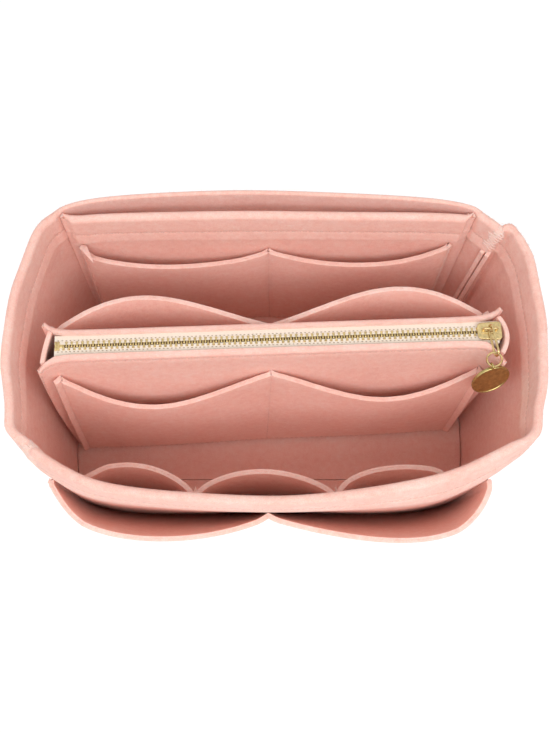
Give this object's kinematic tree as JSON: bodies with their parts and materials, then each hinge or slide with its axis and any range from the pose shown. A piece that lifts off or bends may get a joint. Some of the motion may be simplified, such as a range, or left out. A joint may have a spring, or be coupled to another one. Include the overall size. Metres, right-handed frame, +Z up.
{
  "type": "purse organizer insert",
  "caption": "Pink felt handbag organizer: an open tote with slip pockets inside and out and a lift-out zipped pouch in the middle",
  "frame": {"origin": "middle of the underside of the base, on the surface that the tote stands on", "axes": "+X along the length towards the closed end of the zip, +Y to the back wall with the slip slot, +Z up"},
  "size_m": [0.3083, 0.2012, 0.15],
  "materials": {
    "felt": "matte pressed felt, 2.5 mm",
    "fastener_tape": "hook-and-loop tape",
    "zip_tape": "woven zip tape",
    "gold_metal": "polished pale gold plate",
    "tag_metal": "polished gold plate, darker"
  },
  "bodies": {
    "tote": {"base_panel": "felt", "back_left_wall": "felt", "front_right_wall": "felt", "rear_slip_panel": "felt", "inner_back_pocket_patch": "felt", "inner_front_pocket_strip": "felt", "outer_front_pocket_strip": "felt", "loop_strip": "fastener_tape"},
    "pouch": {"pouch_front_panel": "felt", "pouch_back_panel": "felt", "pouch_gusset": "felt", "pouch_front_pocket_patch": "felt", "pouch_back_pocket_strip": "felt", "hook_strip": "fastener_tape", "front_zip_tape": "zip_tape", "back_zip_tape": "zip_tape", "front_element_row": "gold_metal", "back_element_row": "gold_metal", "bottom_stop": "gold_metal", "front_top_stop": "gold_metal", "back_top_stop": "gold_metal"},
    "slider": {"slider_body": "gold_metal", "slider_crown": "gold_metal"},
    "pull": {"pull_link": "gold_metal"},
    "ring": {"connecting_ring": "gold_metal"},
    "tag": {"disc_tag": "tag_metal"}
  },
  "joints": [
    {"name": "pouch_lift", "type": "slide", "parent": "tote", "child": "pouch", "axis": [0, 0, 1], "range_m": [0, 0.16]},
    {"name": "zip_slide", "type": "slide", "parent": "pouch", "child": "slider", "axis": [-0.9993, -0.0366, 0], "range_m": [0, 0.236], "deforming": ["front_element_row", "back_element_row", "front_zip_tape", "back_zip_tape"]},
    {"name": "puller_swing", "type": "hinge", "parent": "slider", "child": "pull", "pos_m": [0.12652, 0.00006, 0.1468], "axis": [-0.9993, -0.0366, 0], "range_deg": [0, 160]},
    {"name": "ring_swing", "type": "hinge", "parent": "pull", "child": "ring", "pos_m": [0.1291, -0.01443, 0.14577], "axis": [0.9516, -0.3074, 0], "range_deg": [-60, 0]},
    {"name": "disc_swing", "type": "hinge", "parent": "ring", "child": "tag", "pos_m": [0.1272, -0.0203, 0.14022], "axis": [0.9608, 0.2773, 0], "range_deg": [-50, 10]}
  ]
}
